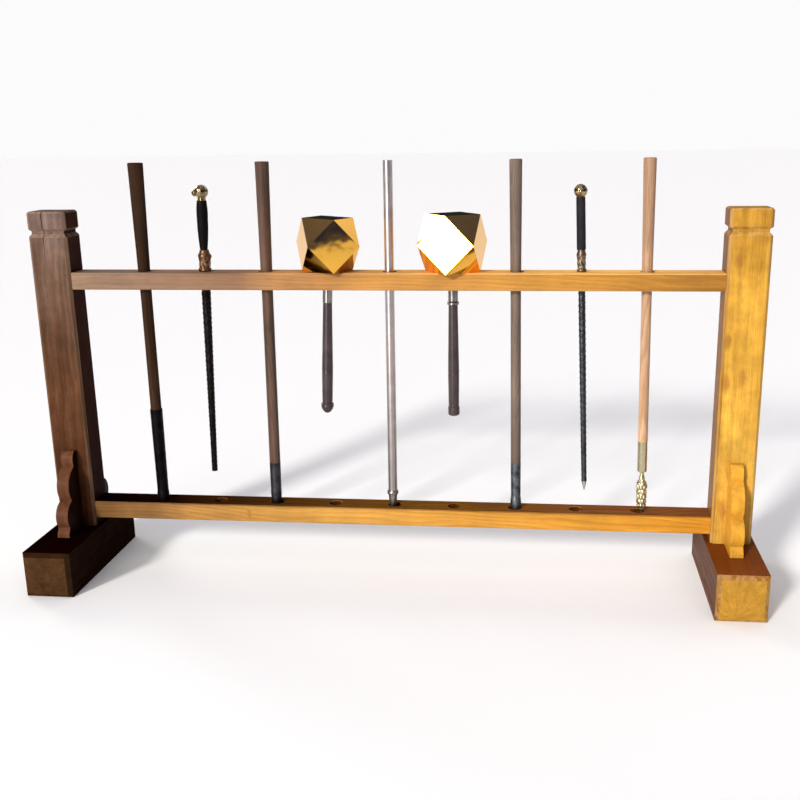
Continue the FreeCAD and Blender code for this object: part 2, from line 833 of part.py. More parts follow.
def make_mace_blade(side):
    """The blade tapers downwards. Its tang runs up through the guard and grip to the pommel."""
    length, tang = size(f"{side}_blade_length"), size("tang_radius")
    tang_top = size(f"{side}_grip_height") + size("tang_pommel_depth")
    return turned_body(f"{side}_mace_blade", [
        Line(0, -length),
        Line(size(f"{side}_blade_end"), -length),
        Line(size(f"{side}_blade_middle"), -size("blade_middle_drop")),
        Line(size(f"{side}_blade_root"), 0),
        Line(tang, 0),
        Line(tang, tang_top),
        Line(0, tang_top),
    ])


def make_mace_guard(side):
    radius, shoulder = size(f"{side}_guard_radius"), size(f"{side}_guard_shoulder")
    height, tang = size("guard_height"), size("tang_radius")
    return turned_body(f"{side}_mace_guard", [
        Line(tang, 0),
        Line(radius, 0),
        Line(radius, size("guard_bend_height")),
        Arc(shoulder, size("guard_neck_height"), size("guard_bend_radius")),
        Line(shoulder, height),
        Line(tang, height),
    ])


def make_left_grip():
    """The left mace's grip swells towards the hand."""
    foot, top = size("guard_height"), size("left_grip_height")
    return turned_body("left_mace_grip", [
        Line(size("tang_radius"), foot),
        Line(size("left_grip_foot"), foot),
        Arc(size("left_grip_swell"), size("left_grip_swell_height"),
            size("left_grip_lower_curve")),
        Arc(size("left_grip_top"), top, size("left_grip_upper_curve")),
        Line(size("tang_radius"), top),
    ])


def make_right_grip():
    """The right mace's grip is straight."""
    foot, top = size("guard_height"), size("right_grip_height")
    tang, radius = size("tang_radius"), size("right_grip_radius")
    return turned_body("right_mace_grip", [
        Line(tang, foot), Line(radius, foot), Line(radius, top), Line(tang, top)])


def make_mace_pommel(side, lobe_direction):
    """A ball with one small side lobe, on a short collar on the grip's top."""
    radius, lobe = size(f"{side}_pommel_radius"), size(f"{side}_lobe_radius")
    seat = radius * SEAT_REACH
    seat_height = size(f"{side}_grip_height")
    collar_top = seat_height + size(f"{side}_pommel_collar")
    middle = collar_top + radius * SEAT_DROP
    tang = size("tang_radius")
    tang_top = seat_height + size("tang_pommel_depth")
    ball = turned_body(f"{side}_pommel_ball", [
        Line(tang, seat_height),
        Line(seat, seat_height),
        Line(seat, collar_top),
        Arc(0, middle + radius, radius),
        Line(0, tang_top),
        Line(tang, tang_top),
    ])
    bead = doc.addObject("Part::Sphere", f"{side}_pommel_lobe")
    bead.setExpression("Radius", lobe.text)
    bead.setExpression(".Placement.Base.x", (radius * lobe_direction.x).text)
    bead.setExpression(".Placement.Base.y", (radius * lobe_direction.y).text)
    bead.setExpression(".Placement.Base.z", (middle - size(f"{side}_lobe_drop")).text)
    bead.Placement = Placement(bead.Placement.Base, Rotation(Vector(0, 0, 1), lobe_direction))
    pommel = doc.addObject("Part::Fuse", f"{side}_mace_pommel")
    pommel.Label = pommel.Name
    pommel.Base = ball
    pommel.Tool = bead
    return pommel


def make_mace(side, grip, lobe_direction):
    pieces = [make_mace_blade(side), make_mace_guard(side), grip,
              make_mace_pommel(side, lobe_direction)]
    if side == "right":
        length = size("right_blade_length")
        pieces.append(turned_body("right_mace_tip", [
            Line(0, -length - size("tip_length")),
            Line(size("tip_end_radius"), -length - size("tip_length")),
            Line(size("right_blade_end"), -length),
            Line(0, -length),
        ]))
    lift = size("mace_seat_lift")
    return [hang_in_rail(piece, side, "mace", MACE_HOLES[side], lift) for piece in pieces]


def corner_cut_cube(width, rise):
    """A cube cut at every corner to the middle of its edges. It rests at height rise."""
    half = width / 2
    centre = Vector(0, 0, rise + half)
    signs = (-1, 1)
    outlines = []
    for sign in signs:
        ring = [(sign, 1, 0), (sign, 0, 1), (sign, -1, 0), (sign, 0, -1)]
        outlines.append(ring)
        outlines.append([(up, sign, across) for _, across, up in ring])
        outlines.append([(across, up, sign) for _, across, up in ring])
    for x_sign in signs:
        for y_sign in signs:
            for z_sign in signs:
                outlines.append([(x_sign, y_sign, 0), (x_sign, 0, z_sign), (0, y_sign, z_sign)])
    faces = []
    for outline in outlines:
        corners = [centre + Vector(*corner) * half for corner in outline]
        faces.append(Part.Face(Part.makePolygon(corners + corners[:1])))
    solid = Part.makeSolid(Part.makeShell(faces))
    if solid.Volume < 0:
        solid.reverse()
    return solid


def make_hammer_head(side):
    """A hollow many-faced head of sheet metal with a round hole for the neck."""
    width = size(f"{side}_head_size").number
    wall = size("head_wall").number
    outer = corner_cut_cube(width, 0)
    hollow = corner_cut_cube(width - 2 * wall, wall)
    neck_hole = Part.makeCylinder(size("neck_radius").number, 2 * wall, Vector(0, 0, -wall / 2))
    head = doc.addObject("Part::Feature", f"{side}_hammer_head")
    head.Label = head.Name
    head.Shape = outer.cut(hollow).cut(neck_hole)
    return head


def make_hammer_neck(side):
    """A metal sleeve from inside the head, through the rail, to a rim on top of the handle."""
    core, radius = size("core_radius"), size("neck_radius")
    edge, slope = size("neck_rim_edge"), size("neck_rim_slope")
    rim = size("neck_rim_radius") if side == "right" else radius
    foot, rim_top = -size("neck_drop"), size("neck_rim_height") - size("neck_drop")
    return turned_body(f"{side}_hammer_neck", [
        Line(core, foot),
        Line(rim - edge, foot),
        Line(rim, foot + edge),
        Line(rim, rim_top - edge),
        Line(radius, rim_top + slope),
        Line(radius, size("neck_rise")),
        Line(core, size("neck_rise")),
    ])


def make_hammer_handle(side):
    core, radius = size("core_radius"), size("handle_radius")
    middle, half = -size("handle_groove_drop"), size("handle_groove_width") / 2
    return turned_body(f"{side}_hammer_handle", [
        Line(core, -size("handle_drop")),
        Line(radius - size("handle_foot_inset"), -size("handle_drop")),
        Line(radius, middle - half),
        Arc(radius, middle + half, size("handle_groove_curve"), -1),
        Line(size("handle_top_radius"), -size("neck_drop")),
        Line(core, -size("neck_drop")),
    ])


def make_hammer_knob(side):
    core, radius = size("core_radius"), size(f"{side}_knob_radius")
    top = -size("handle_drop")
    bottom = top - size("knob_height")
    dome, edge = size(f"{side}_knob_dome_height"), size("knob_edge")
    floor_of_hole = top - size("core_knob_depth")
    return turned_body(f"{side}_hammer_knob", [
        Line(0, bottom),
        Arc(radius, bottom + dome, dome_radius(radius, dome)),
        Line(radius, top - edge),
        Line(radius - edge, top),
        Line(core, top),
        Line(core, floor_of_hole),
        Line(0, floor_of_hole),
    ])


def make_hammer_core(side):
    """The steel rod that holds the knob, handle, neck and head together."""
    bottom = -size("handle_drop") - size("core_knob_depth")
    top = size("neck_rise")
    radius = size("core_radius")
    return turned_body(f"{side}_hammer_core", [
        Line(0, bottom), Line(radius, bottom), Line(radius, top), Line(0, top)])


def make_hammer(side):
    turn = size(f"{side}_head_turn").number
    lift = size(f"{side}_hammer_seat_lift")
    pieces = [make_hammer_head(side), make_hammer_neck(side), make_hammer_handle(side),
              make_hammer_knob(side), make_hammer_core(side)]
    return [hang_in_rail(piece, side, "hammer", HAMMER_HOLES[side], lift, turn) for piece in pieces]


# ---------------------------------------------------------------------------------------------
# The whole rack

pieces = [make_upper_rail(), make_lower_rail()]
for side_name, side_sign in SIDES.items():
    pieces.append(make_foot(f"{side_name}_foot", side_sign))
    pieces.append(make_post(f"{side_name}_post", side_sign))
    for end_name, end_sign in ENDS.items():
        pieces.append(make_bracket(f"{side_name}_{end_name}_bracket", side_sign, end_sign))
pieces += [make_rail_pegs(), make_post_pegs(), make_bracket_dowels()]
for pole_name in ("pole_1", "pole_2", "pole_4"):
    pieces += make_iron_shod_pole(pole_name)
pieces += make_steel_pole()
pieces += make_brass_pole()
pieces += make_mace("left", make_left_grip(), Vector(-1, 0, 0))
pieces += make_mace("right", make_right_grip(), Vector(0, -1, 0))
for side_name in HAMMER_HOLES:
    pieces += make_hammer(side_name)

doc.recompute()
for item in doc.Objects:
    if "Invalid" in item.State or "Error" in item.State:
        raise RuntimeError(f"{item.Label} failed: {item.State}")
for piece in pieces:
    if piece.Shape.isNull() or not piece.Shape.isValid():
        raise RuntimeError(f"{piece.Label} has no valid shape")

os.makedirs("parts", exist_ok=True)
for piece in pieces:
    piece.Shape.exportStep(f"parts/{piece.Label}.step")
    print(f"{piece.Label}: {len(piece.Shape.Solids)} solid(s), {piece.Shape.Volume:.0f} mm3")
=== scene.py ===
import json
import math

import bpy
from mathutils import Euler, Matrix, Vector


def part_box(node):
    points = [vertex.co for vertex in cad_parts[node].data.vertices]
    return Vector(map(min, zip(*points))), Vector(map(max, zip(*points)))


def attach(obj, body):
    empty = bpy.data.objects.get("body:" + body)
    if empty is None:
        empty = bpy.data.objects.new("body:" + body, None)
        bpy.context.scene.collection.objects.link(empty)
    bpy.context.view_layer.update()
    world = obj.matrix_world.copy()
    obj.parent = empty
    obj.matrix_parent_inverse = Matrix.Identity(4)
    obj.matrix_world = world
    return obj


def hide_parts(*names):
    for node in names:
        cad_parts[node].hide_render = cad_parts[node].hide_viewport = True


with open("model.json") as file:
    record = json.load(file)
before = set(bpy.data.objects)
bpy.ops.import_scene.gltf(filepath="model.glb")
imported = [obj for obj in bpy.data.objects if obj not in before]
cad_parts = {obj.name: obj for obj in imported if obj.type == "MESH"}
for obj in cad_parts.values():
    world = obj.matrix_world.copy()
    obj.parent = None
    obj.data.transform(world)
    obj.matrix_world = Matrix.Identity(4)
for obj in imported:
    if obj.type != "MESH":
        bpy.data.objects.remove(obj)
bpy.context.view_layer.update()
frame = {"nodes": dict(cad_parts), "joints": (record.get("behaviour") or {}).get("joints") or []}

# ---------------------------------------------------------------- camera
CAMERA_PLACE = (0.4376, -2.862, 1.280)
CAMERA_PITCH = -15.575
CAMERA_YAW = 6.452
CAMERA_ROLL = -0.772
CAMERA_LENS = 46.98
SENSOR_WIDTH = 36.0
SHIFT_ACROSS = -0.0386
SHIFT_UP = 0.027
FARTHEST_SEEN = 200.0

# ---------------------------------------------------------------- tones
# All tones are linear red, green and blue.
KNOT = (0.30, 0.115, 0.022)
CRACK = (0.012, 0.006, 0.004)
# painted shade for the insides of the rails' holes
HOLE_PAINTED_SHADE = (0.16, 0.08, 0.07)
FLOOR_TONE = (0.945, 0.945, 0.935)
WORN_WOOD = (0.70, 0.50, 0.30)
LIGHT_TONE = (1.0, 0.97, 0.93)
STUDIO_TONE = (1.0, 0.98, 0.95, 1.0)
COOL_TONE = (0.0, 0.05, 1.0, 1.0)
BACKDROP_TONE = (1.0, 1.0, 1.0, 1.0)

# A mix node has sockets of the same name for each kind of value. These are the colour ones.
FIRST_COLOUR = 6
SECOND_COLOUR = 7

# how fine each layer of a wood's or lacquer's grain is, across the grain and along it, per metre
WOBBLE = (5.0, 1.6)
FIBRES = (420.0, 11.0)
STREAKS = (70.0, 2.4)
PORES = (900.0, 40.0)
PLANING = (16.0, 5.0)
LACQUER_FIBRES = (500.0, 14.0)


class Nodes:
    """The nodes of one material or world."""

    def __init__(self, tree):
        self.tree = tree

    def add(self, kind, **settings):
        node = self.tree.nodes.new(kind)
        for key, value in settings.items():
            setattr(node, key, value)
        return node

    def plug(self, socket, value):
        """Link a socket, or set a plain value on it."""
        if isinstance(value, bpy.types.NodeSocket):
            self.tree.links.new(value, socket)
        elif isinstance(value, tuple) and len(value) == 3 and socket.type == "RGBA":
            socket.default_value = (*value, 1.0)
        else:
            socket.default_value = value

    def math(self, operation, *values):
        node = self.add("ShaderNodeMath", operation=operation)
        for socket, value in zip(node.inputs, values):
            self.plug(socket, value)
        return node.outputs[0]

    def vector(self, operation, *values):
        node = self.add("ShaderNodeVectorMath", operation=operation)
        for socket, value in zip(node.inputs, values):
            self.plug(socket, value)
        return node.outputs["Value" if operation in ("LENGTH", "DOT_PRODUCT") else "Vector"]

    def split(self, vector):
        node = self.add("ShaderNodeSeparateXYZ")
        self.plug(node.inputs[0], vector)
        return node.outputs

    def join(self, x, y, z):
        node = self.add("ShaderNodeCombineXYZ")
        for socket, value in zip(node.inputs, (x, y, z)):
            self.plug(socket, value)
        return node.outputs[0]

    def spread(self, value, low, high, start=0.0, end=1.0, smooth=False):
        """Map low…high to start…end, held at both ends."""
        node = self.add("ShaderNodeMapRange")
        node.interpolation_type = "SMOOTHSTEP" if smooth else "LINEAR"
        for socket, entry in zip(node.inputs, (value, low, high, start, end)):
            self.plug(socket, entry)
        return node.outputs[0]

    def noise(self, vector, scale=1.0, detail=3.0, roughness=0.5, colour=False):
        node = self.add("ShaderNodeTexNoise")
        self.plug(node.inputs["Vector"], vector)
        node.inputs["Scale"].default_value = scale
        node.inputs["Detail"].default_value = detail
        node.inputs["Roughness"].default_value = roughness
        return node.outputs["Color" if colour else "Fac"]

    def mix(self, share, first, second, blend="MIX"):
        node = self.add("ShaderNodeMix", data_type="RGBA", blend_type=blend)
        self.plug(node.inputs[0], share)
        self.plug(node.inputs[FIRST_COLOUR], first)
        self.plug(node.inputs[SECOND_COLOUR], second)
        return node.outputs[2]

    def ramp(self, value, stops):
        """A colour ramp from (place, tone) pairs."""
        node = self.add("ShaderNodeValToRGB")
        elements = node.color_ramp.elements
        while len(elements) < len(stops):
            elements.new(0.5)
        for element, (place, tone) in zip(elements, stops):
            element.position = place
            element.color = (*tone, 1.0)
        self.plug(node.inputs[0], value)
        return node.outputs[0]

    def shade(self, colour, amount):
        """Multiply a colour by a grey amount."""
        return self.mix(1.0, colour, self.join(amount, amount, amount), "MULTIPLY")

    def bump(self, height, distance, strength, below=None):
        node = self.add("ShaderNodeBump")
        node.inputs["Strength"].default_value = strength
        node.inputs["Distance"].default_value = distance
        self.plug(node.inputs["Height"], height)
        if below is not None:
            self.plug(node.inputs["Normal"], below)
        return node.outputs[0]


class Shader(Nodes):
    """One procedural material."""

    def __init__(self, name):
        self.material = bpy.data.materials.new(name)
        self.material.use_nodes = True
        super().__init__(self.material.node_tree)
        self.surface = self.tree.nodes["Principled BSDF"]
        self.place = self.add("ShaderNodeTexCoord")

    def set(self, **inputs):
        """Set the surface's inputs, named with _ for each space."""
        for key, value in inputs.items():
            self.plug(self.surface.inputs[key.replace("_", " ")], value)

    def grain(self, directions, fineness):
        """The place along and across the grain, for a texture that the grain stretches."""
        along, side, other = directions
        across_scale, along_scale = fineness
        return self.join(self.math("MULTIPLY", side, across_scale),
                         self.math("MULTIPLY", other, across_scale),
                         self.math("MULTIPLY", along, along_scale))


def growth_rings(s, directions, pith, tilt, ring, wander):
    """Rings about an axis that runs along the grain, with a slow wobble, and their angle."""
    along, side, other = directions
    loose = s.noise(s.grain(directions, WOBBLE), 1.0, 2.0, colour=True)
    wobble = s.vector("SUBTRACT", loose, (0.5, 0.5, 0.5))
    wobble = s.vector("SCALE", wobble)
    wobble.node.inputs["Scale"].default_value = wander
    leaning = s.join(
        s.math("SUBTRACT", s.math("MULTIPLY_ADD", along, tilt[0], side), pith[0]),
        s.math("SUBTRACT", s.math("MULTIPLY_ADD", along, tilt[1], other), pith[1]), 0.0)
    from_pith = s.split(s.vector("ADD", leaning, wobble))
    flat = s.join(from_pith[0], from_pith[1], 0.0)
    rings = s.math("DIVIDE", s.vector("LENGTH", flat), ring)
    return rings, s.math("ARCTAN2", from_pith[0], from_pith[1])


def knot_share(s, x, z, knots):
    """How near a place is to a knot, from 0 to 1. knots holds (x, z, radius) for each."""
    nearest = None
    for across, up, radius in knots:
        loose = s.math("SUBTRACT", s.noise(s.place.outputs["Object"], 60.0, 2.0), 0.5)
        offset = s.join(
            s.math("MULTIPLY_ADD", loose, 1.2, s.math("DIVIDE", s.math("SUBTRACT", x, across),
                                                      radius)),
            s.math("DIVIDE", s.math("SUBTRACT", z, up), radius * 2.4), 0.0)
        near = s.spread(s.vector("LENGTH", offset), 0.1, 2.4, 1.0, 0.0, smooth=True)
        nearest = near if nearest is None else s.math("MAXIMUM", nearest, near)
    return nearest


def wood(name, grain, pith, tones, dark=(0.66, 0.55, 0.44), fade=("X", -1.0, 1.0), ring=0.009,
         tilt=(0.02, 0.03), ring_contrast=0.5, faces=(), knots=(), crack=None, holes=None,
         gloss=0.40, coat=0.06, specular=0.20, worn_edge=0.0, streak=0.14, blotch=0.22,
         wander=0.06, mottle=0.0):
    """Varnished wood with growth rings about an axis that runs along the grain.

    pith is where that axis crosses the board, in metres in the other two directions. tones is
    one tone, or stops that fade along an axis. faces holds (axis, sign, tone) for sides tinted
    with painted light and shade: a dark tint is painted shade, a bright one painted glare. crack
    is its x, its lower and upper end and its width. holes is the middle, half width and top of a
    row of holes whose insides are darkened with painted shade."""
    s = Shader(name)
    x, y, z = s.split(s.place.outputs["Object"])
    directions = {"X": (x, y, z), "Y": (y, x, z), "Z": (z, x, y)}[grain]
    rings, angle = growth_rings(s, directions, pith, tilt, ring, wander)
    knot_amount = knot_share(s, x, z, knots)
    if knot_amount is not None:
        rings = s.math("MULTIPLY_ADD", knot_amount, 0.5, rings)
    band = s.math("FRACT", rings)
    late_wood = s.math("MULTIPLY", s.spread(band, 0.15, 0.85, smooth=True),
                       s.spread(band, 0.9, 1.0, 1.0, 0.0, smooth=True))

    # fibres and slow patches of colour
    fine = s.noise(s.grain(directions, FIBRES), 1.0, 3.0, 0.6)
    coarse = s.noise(s.grain(directions, STREAKS), 1.0, 3.0, 0.55)
    patches = s.noise(s.place.outputs["Object"], 4.5, 3.0, 0.55)
    pores = s.spread(s.noise(s.grain(directions, PORES), 1.0, 1.0), 0.62, 0.72)

    light = tones
    if isinstance(tones[0], tuple):
        position = {"X": x, "Z": z}[fade[0]]
        reach = s.math("MULTIPLY_ADD", s.math("SUBTRACT", patches, 0.5),
                       0.18 * (fade[2] - fade[1]), position)
        light = s.ramp(s.spread(reach, fade[1], fade[2]), tones)
    facing = dict(zip("XYZ", s.split(s.place.outputs["Normal"])))
    end_grain = s.spread(s.math("ABSOLUTE", facing[grain]), 0.7, 0.95)
    ring_share = s.math("MULTIPLY", late_wood,
                        s.spread(end_grain, 0.0, 1.0, ring_contrast, ring_contrast * 0.3))
    colour = s.mix(ring_share, light, s.mix(1.0, light, dark, "MULTIPLY"))
    brightness = s.math("ADD", s.spread(coarse, 0.3, 0.7, 1.0 - streak, 1.0 + streak * 0.6),
                        s.spread(fine, 0.3, 0.7, -streak * 0.5, streak * 0.4))
    brightness = s.math("MULTIPLY", brightness,
                        s.spread(patches, 0.3, 0.7, 1.0 - blotch, 1.0 + blotch * 0.5))
    brightness = s.math("MULTIPLY", brightness, s.spread(pores, 0.0, 1.0, 1.0, 0.78))
    if mottle:
        spots = s.noise(s.place.outputs["Object"], 28.0, 4.0, 0.6)
        brightness = s.math("MULTIPLY", brightness,
                            s.spread(spots, 0.35, 0.65, 1.0 - mottle, 1.0 + mottle * 0.6))

    rays = s.noise(s.join(s.math("MULTIPLY", angle, 4.0), s.math("MULTIPLY", rings, 0.10), 0.0),
                   1.0, 3.0, 0.6)
    brightness = s.math("MULTIPLY", brightness,
                        s.math("MULTIPLY_ADD", end_grain, s.spread(rays, 0.35, 0.65, -0.18, 0.08),
                               1.0))
    colour = s.shade(colour, brightness)
    if knot_amount is not None:
        colour = s.mix(s.spread(knot_amount, 0.2, 1.0, 0.0, 0.6, smooth=True), colour, KNOT)
    # painted light and shade: each listed side is multiplied by its tint, dark for painted shade,
    # bright for painted glare
    for axis, sign, tone in faces:
        turned_to = s.spread(s.math("MULTIPLY", facing[axis], float(sign)), 0.4, 0.9)
        if isinstance(tone[0], tuple):
            tone = s.ramp(s.spread(x, fade[1], fade[2]), tone)
        colour = s.mix(turned_to, colour, tone, "MULTIPLY")
    # painted shade: the insides of the holes are darkened
    if holes:
        middle, half_width, top = holes
        inside = s.math("MULTIPLY",
                        s.math("LESS_THAN", s.math("ABSOLUTE", s.math("SUBTRACT", y, middle)),
                               half_width),
                        s.math("LESS_THAN", z, top))
        colour = s.mix(inside, colour, HOLE_PAINTED_SHADE, "MULTIPLY")
    if worn_edge:
        flatness = s.math("MAXIMUM", s.math("ABSOLUTE", facing["X"]),
                          s.math("MAXIMUM", s.math("ABSOLUTE", facing["Y"]),
                                 s.math("ABSOLUTE", facing["Z"])))
        edge = s.spread(flatness, 0.75, 0.96, worn_edge, 0.0)
        edge = s.math("MULTIPLY", edge, s.spread(coarse, 0.35, 0.6))
        colour = s.mix(edge, colour, s.mix(0.5, light, WORN_WOOD))
    height = s.math("ADD", s.math("MULTIPLY", late_wood, 0.5),
                    s.math("SUBTRACT", s.math("MULTIPLY", fine, 0.6), pores))
    if crack:
        across, low, top, width = crack
        path = s.math("MULTIPLY_ADD", s.noise(s.join(0.0, 0.0, z), 22.0, 3.0), 0.010, across)
        gap = s.math("ABSOLUTE", s.math("SUBTRACT", x, path))
        open_width = s.spread(z, low, top, 0.0, width)
        split_share = s.math("LESS_THAN", gap, open_width)
        colour = s.mix(s.math("MULTIPLY", split_share, 0.9), colour, CRACK)
        height = s.math("SUBTRACT", height, s.math("MULTIPLY", split_share, 4.0))
    planed = s.noise(s.grain(directions, PLANING), 1.0, 2.0)
    s.set(Base_Color=colour, Coat_Weight=coat, Coat_Roughness=0.2, Specular_IOR_Level=specular)
    s.set(Roughness=s.math("ADD", s.spread(coarse, 0.3, 0.7, gloss - 0.05, gloss + 0.10),
                           s.math("MULTIPLY", late_wood, -0.06)))
    wavy = s.bump(planed, 0.004, 0.18)
    s.set(Normal=s.bump(height, 0.0006, 0.45, wavy))
    return s.material


def metal(name, tone, deep, rough=(0.15, 0.35), patina=0.3, grain=30.0, relief=0.0004,
          relief_scale=90.0, fade=None):
    """Metal with patches of patina, wear and fine unevenness.

    fade holds a low and a high Z, and how bright the metal still is at the low one."""
    s = Shader(name)
    spot = s.place.outputs["Object"]
    cloud = s.noise(spot, grain, 5.0, 0.6)
    colour = s.mix(s.spread(cloud, 0.42, 0.66, 0.0, patina), tone, deep)
    fine = s.noise(spot, relief_scale, 3.0, 0.6)
    brightness = s.spread(fine, 0.3, 0.7, 0.86, 1.08)
    # painted shade: the metal darkens towards the low Z
    if fade:
        low, top, share = fade
        lower = s.spread(s.split(spot)[2], low, top, share, 1.0)
        brightness = s.math("MULTIPLY", brightness, lower)
    s.set(Base_Color=s.shade(colour, brightness), Metallic=1.0)
    s.set(Roughness=s.spread(cloud, 0.35, 0.7, rough[0], rough[1]))
    s.set(Normal=s.bump(fine, relief, 0.5))
    return s.material


def lacquer(name, tone, deep, gloss=0.34, coat=0.15, specular=0.25):
    """A dark lacquer that follows fine turned grain."""
    s = Shader(name)
    x, y, z = s.split(s.place.outputs["Object"])
    fibre = s.noise(s.grain((z, x, y), LACQUER_FIBRES), 1.0, 3.0)
    cloud = s.noise(s.place.outputs["Object"], 26.0, 4.0, 0.6)
    s.set(Base_Color=s.mix(s.spread(cloud, 0.35, 0.65), tone, deep), Coat_Weight=coat,
          Coat_Roughness=0.14, Specular_IOR_Level=specular)
    s.set(Roughness=s.spread(fibre, 0.3, 0.7, gloss - 0.06, gloss + 0.14))
    s.set(Normal=s.bump(fibre, 0.0005, 0.3))
    return s.material


def paint(material, *names):
    """Give CAD nodes this material."""
    for name in names:
        piece = frame["nodes"][name]
        piece.data.materials.clear()
        piece.data.materials.append(material)


# ---------------------------------------------------------------- rack
LEFT_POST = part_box("left_post")
RIGHT_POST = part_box("right_post")
LEFT_MIDDLE = (LEFT_POST[0].x + LEFT_POST[1].x) / 2
RIGHT_MIDDLE = (RIGHT_POST[0].x + RIGHT_POST[1].x) / 2
RAIL_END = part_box("upper_rail")[1].x
POST_TOP = LEFT_POST[1].z
FOOT_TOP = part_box("left_foot")[1].z

RIGHT_KNOTS = ((0.943, 0.938, 0.009), (0.926, 0.720, 0.008), (0.928, 0.605, 0.009),
               (0.971, 0.620, 0.007), (0.939, 0.235, 0.009))
ALONG_POST = ("Z", FOOT_TOP, POST_TOP)
ALONG_RAIL = ("X", -RAIL_END, RAIL_END)
# The left post's tones are its darker brown wood with painted shade laid over it; they grow
# darker towards the bottom.
LEFT_POST_TONES_AND_SHADE = ((0.0, (0.068, 0.021, 0.009)), (0.45, (0.119, 0.051, 0.025)),
                   (0.85, (0.140, 0.083, 0.058)), (1.0, (0.155, 0.106, 0.090)))
RIGHT_POST_TONES = ((0.0, (0.63, 0.350, 0.058)), (0.6, (0.66, 0.355, 0.048)),
                    (1.0, (0.50, 0.250, 0.033)))
# The rails' tones turn darker and browner towards the left end: painted shade laid over the
# wood's own tone.
UPPER_TONES_SHADED_LEFT = ((0.0, (0.265, 0.168, 0.108)), (0.28, (0.220, 0.108, 0.050)),
               (0.45, (0.49, 0.230, 0.052)), (0.75, (0.51, 0.240, 0.040)),
               (1.0, (0.335, 0.144, 0.0195)))
LOWER_TONES_SHADED_LEFT = ((0.0, (0.139, 0.065, 0.024)), (0.12, (0.25, 0.127, 0.044)),
               (0.4, (0.57, 0.295, 0.066)), (1.0, (0.60, 0.255, 0.024)))
# painted shade on the lower rail's top, darkest at the left end, with a bluish cast at the right
# end
LOWER_TOP_PAINTED_SHADE = ((0.0, (0.005, 0.003, 0.003)), (0.15, (0.035, 0.015, 0.015)),
             (0.35, (0.20, 0.15, 0.12)), (0.6, (0.33, 0.28, 0.23)), (1.0, (0.37, 0.29, 0.95)))
# painted glare on the upper rail's top: a little darker at the left end, then brighter and bluer
# towards the right end
UPPER_TOP_PAINTED_GLARE = ((0.0, (0.90, 0.90, 0.90)), (0.45, (1.5, 1.6, 1.8)), (1.0, (2.9, 3.4, 5.6)))
RAIL_MIDDLE = (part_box("upper_rail")[0].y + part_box("upper_rail")[1].y) / 2
HOLE_REACH = 0.0206
HOLE_RIM = 0.0008
UPPER_HOLE_SHADE = (RAIL_MIDDLE, HOLE_REACH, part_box("upper_rail")[1].z - HOLE_RIM)
LOWER_HOLE_SHADE = (RAIL_MIDDLE, HOLE_REACH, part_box("lower_rail")[1].z - HOLE_RIM)

# painted shade: the left post's +X side is darkened
paint(wood("wood_left_post", "Z", (LEFT_MIDDLE - 0.05, 0.13), LEFT_POST_TONES_AND_SHADE, fade=ALONG_POST,
           ring=0.010, worn_edge=0.3, gloss=0.50, crack=(-0.986, 0.895, 1.075, 0.0016),
           coat=0.0, specular=0.01, faces=(("X", 1, (0.28, 0.10, 0.05)),), streak=0.24,
           blotch=0.35, mottle=0.15), "left_post")
# painted shade: the right post's -X side is darkened
paint(wood("wood_right_post", "Z", (RIGHT_MIDDLE + 0.03, 0.22), RIGHT_POST_TONES,
           fade=ALONG_POST, ring=0.013, knots=RIGHT_KNOTS, worn_edge=0.45, ring_contrast=0.30,
           wander=0.035, streak=0.20, specular=0.06, coat=0.0, blotch=0.28, mottle=0.15,
           faces=(("X", -1, (0.39, 0.28, 0.16)),)), "right_post")
# painted glare on the upper rail's top, and painted shade inside its holes
paint(wood("wood_upper_rail", "X", (0.12, 1.04), UPPER_TONES_SHADED_LEFT, fade=ALONG_RAIL, ring=0.010,
           faces=(("Z", 1, UPPER_TOP_PAINTED_GLARE),), tilt=(0.01, 0.02), worn_edge=0.3, wander=0.09,
           ring_contrast=0.30, streak=0.16, blotch=0.26, specular=0.16, coat=0.03,
           holes=UPPER_HOLE_SHADE), "upper_rail")
# painted shade on the lower rail's top and inside its holes
paint(wood("wood_lower_rail", "X", (0.10, 0.06), LOWER_TONES_SHADED_LEFT, fade=ALONG_RAIL, ring=0.010,
           faces=(("Z", 1, LOWER_TOP_PAINTED_SHADE),), tilt=(-0.012, 0.02), knots=((-0.435, 0.185, 0.006),),
           worn_edge=0.2, ring_contrast=0.40, specular=0.0, coat=0.0, wander=0.08,
           holes=LOWER_HOLE_SHADE), "lower_rail")
# The left foot's tone is dark wood with painted shade; its top and +X side are darkened further
# with painted shade.
paint(wood("wood_left_foot", "Y", (LEFT_MIDDLE + 0.02, -0.01), (0.056, 0.026, 0.0105),
           ring=0.009, gloss=0.55, coat=0.0, specular=0.0, tilt=(0.01, 0.01),
           faces=(("Z", 1, (0.10, 0.03, 0.02)), ("X", 1, (0.32, 0.32, 0.50))), streak=0.25,
           blotch=0.35, ring_contrast=0.25, mottle=0.15), "left_foot")
# painted shade: the right foot's top and -X side are darkened
paint(wood("wood_right_foot", "Y", (RIGHT_MIDDLE - 0.01, 0.03), (0.445, 0.228, 0.031),
           dark=(0.66, 0.50, 0.40), ring=0.008, worn_edge=0.35, ring_contrast=0.35,
           tilt=(0.01, 0.01), specular=0.03, coat=0.0, wander=0.10,
           faces=(("Z", 1, (0.46, 0.22, 0.20)), ("X", -1, (0.24, 0.12, 0.05)))), "right_foot")
